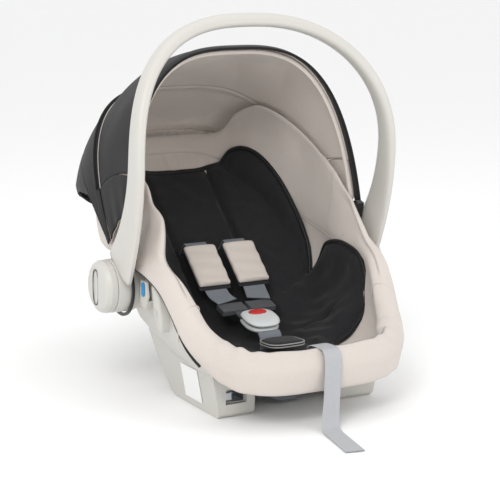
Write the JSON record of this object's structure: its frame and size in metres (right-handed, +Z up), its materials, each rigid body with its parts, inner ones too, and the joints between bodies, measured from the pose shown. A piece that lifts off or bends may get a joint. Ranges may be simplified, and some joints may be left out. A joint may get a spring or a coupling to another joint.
{
  "type": "infant car seat",
  "caption": "Rear-facing infant carrier: padded bucket on a rocker base with harness, folding canopy and a swinging carry handle.",
  "frame": {"origin": "on the floor under the middle of the seat's bounding box, without the loose end of the adjuster strap", "axes": "+Z up, +Y towards the child's head, +X to the child's left as it sits facing -Y"},
  "size_m": [0.486, 0.7592, 0.5682],
  "materials": {
    "shell_plastic": "fine-textured greige moulded polypropylene",
    "dark_plastic": "dark grey moulded plastic",
    "foam": "expanded polystyrene beads",
    "cover_fabric": "cream woven polyester, lightly padded",
    "insert_fabric": "black woven polyester with piped edges",
    "canopy_fabric": "charcoal woven polyester with a soft sheen",
    "webbing": "blue-grey polyester webbing",
    "pull_webbing": "silver-grey polyester webbing",
    "buckle_grey": "satin light grey plastic",
    "button_red": "satin red plastic",
    "guide_blue": "satin blue plastic",
    "label_white": "blank white label stock",
    "steel": "zinc-plated steel"
  },
  "bodies": {
    "seat": {"shell": "shell_plastic", "keel_foot": "dark_plastic", "foam_liner": "foam", "seat_cover": "cover_fabric", "cover_rim": "cover_fabric", "insert_back": "insert_fabric", "insert_seat": "insert_fabric", "buckle_body": "buckle_grey", "crotch_strap": "webbing", "crotch_pad": "insert_fabric", "splitter_plate": "steel", "strap_anchor": "steel", "under_strap": "pull_webbing", "adjuster_body": "dark_plastic", "adjuster_bezel": "dark_plastic", "adjuster_pin": "steel", "adjuster_strap": "pull_webbing", "label": "label_white", "canopy_rear_panel": "canopy_fabric", "canopy_mid_bow": "steel", "latch_socket_left": "dark_plastic", "latch_socket_right": "dark_plastic", "insert_head_wing_left": "insert_fabric", "insert_head_wing_right": "insert_fabric", "insert_leg_wing_left": "insert_fabric", "insert_leg_wing_right": "insert_fabric", "shoulder_strap_left": "webbing", "shoulder_strap_right": "webbing", "tongue_left": "buckle_grey", "tongue_right": "buckle_grey", "belt_guide_left": "shell_plastic", "belt_guide_right": "shell_plastic", "guide_mark_left": "guide_blue", "guide_mark_right": "guide_blue", "pivot_bolt_left": "steel", "pivot_bolt_right": "steel"},
    "handle": {"carry_handle": "shell_plastic", "hub_cap_left": "shell_plastic", "hub_cap_right": "shell_plastic", "hub_spring_left": "steel", "hub_spring_right": "steel"},
    "hub_button_body_left": {"hub_button_left": "shell_plastic", "lock_gear_left": "dark_plastic"},
    "hub_button_body_right": {"hub_button_right": "shell_plastic", "lock_gear_right": "dark_plastic"},
    "canopy": {"canopy_front_panel": "canopy_fabric", "canopy_front_bow": "steel", "canopy_binding": "insert_fabric", "canopy_clip_left": "dark_plastic", "canopy_clip_right": "dark_plastic", "canopy_side_left": "canopy_fabric", "canopy_side_right": "canopy_fabric"},
    "buckle_release": {"buckle_button": "button_red"},
    "adjuster_release": {"adjuster_lever": "buckle_grey"},
    "shoulder_pad_body_left": {"shoulder_pad_left": "cover_fabric"},
    "shoulder_pad_body_right": {"shoulder_pad_right": "cover_fabric"}
  },
  "joints": [
    {"name": "handle_swing", "type": "hinge", "parent": "seat", "child": "handle", "pos_m": [0, -0.048, 0.171], "axis": [-1, 0, 0], "range_deg": [-40, 112]},
    {"name": "hub_button_left_press", "type": "slide", "parent": "handle", "child": "hub_button_body_left", "axis": [1, 0, 0], "range_m": [0, 0.005], "stiffness_N_per_m": 600, "springref_m": -0.002, "deforming": ["hub_spring_left"]},
    {"name": "hub_button_right_press", "type": "slide", "parent": "handle", "child": "hub_button_body_right", "axis": [-1, 0, 0], "range_m": [0, 0.005], "stiffness_N_per_m": 600, "springref_m": -0.002, "deforming": ["hub_spring_right"]},
    {"name": "canopy_fold", "type": "hinge", "parent": "seat", "child": "canopy", "pos_m": [0, -0.048, 0.171], "axis": [-1, 0, 0], "range_deg": [0, 34], "deforming": ["canopy_side_left", "canopy_side_right"]},
    {"name": "buckle_press", "type": "slide", "parent": "seat", "child": "buckle_release", "axis": [0, 0.2764, -0.9611], "range_m": [0, 0.003], "stiffness_N_per_m": 600, "springref_m": -0.002},
    {"name": "adjuster_press", "type": "hinge", "parent": "seat", "child": "adjuster_release", "pos_m": [0, -0.2684, 0.06695], "axis": [-1, 0, 0], "range_deg": [0, 7], "stiffness_Nm_per_rad": 0.2, "springref_deg": -5.73},
    {"name": "shoulder_pad_left_slide", "type": "slide", "parent": "seat", "child": "shoulder_pad_body_left", "axis": [0, 0.7433, 0.669], "range_m": [-0.012, 0.012]},
    {"name": "shoulder_pad_right_slide", "type": "slide", "parent": "seat", "child": "shoulder_pad_body_right", "axis": [0, 0.7433, 0.669], "range_m": [-0.012, 0.012]}
  ]
}
